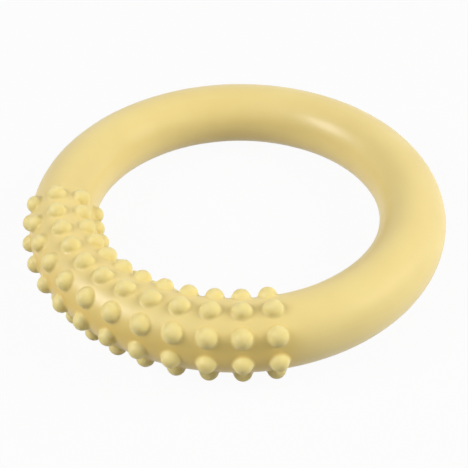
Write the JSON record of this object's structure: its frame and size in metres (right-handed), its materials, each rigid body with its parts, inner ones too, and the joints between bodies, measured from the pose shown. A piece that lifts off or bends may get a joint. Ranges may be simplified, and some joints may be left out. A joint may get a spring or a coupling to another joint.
{
  "type": "rubber chew ring",
  "caption": "Solid rubber dog chew ring: a round tube in a closed ring, with rows of round gum-massaging nubs over about a quarter of it.",
  "frame": {"origin": "the ring's centre, where its axis crosses the plane of the tube's centre line", "axes": "+Z along the ring's axis, and -Y through the middle of the nubbed stretch"},
  "size_m": [0.12, 0.1222, 0.0236],
  "materials": {
    "rubber": "satin moulded natural rubber, pale butter yellow"
  },
  "bodies": {
    "root": {"ring_body": "rubber", "nubs_outer_shoulder": "rubber", "nubs_crown": "rubber", "nubs_inner_shoulder": "rubber", "nubs_inner_side": "rubber", "nubs_inner_under": "rubber", "nubs_underside": "rubber", "nubs_outer_under": "rubber", "nubs_outer_side": "rubber"}
  },
  "joints": []
}
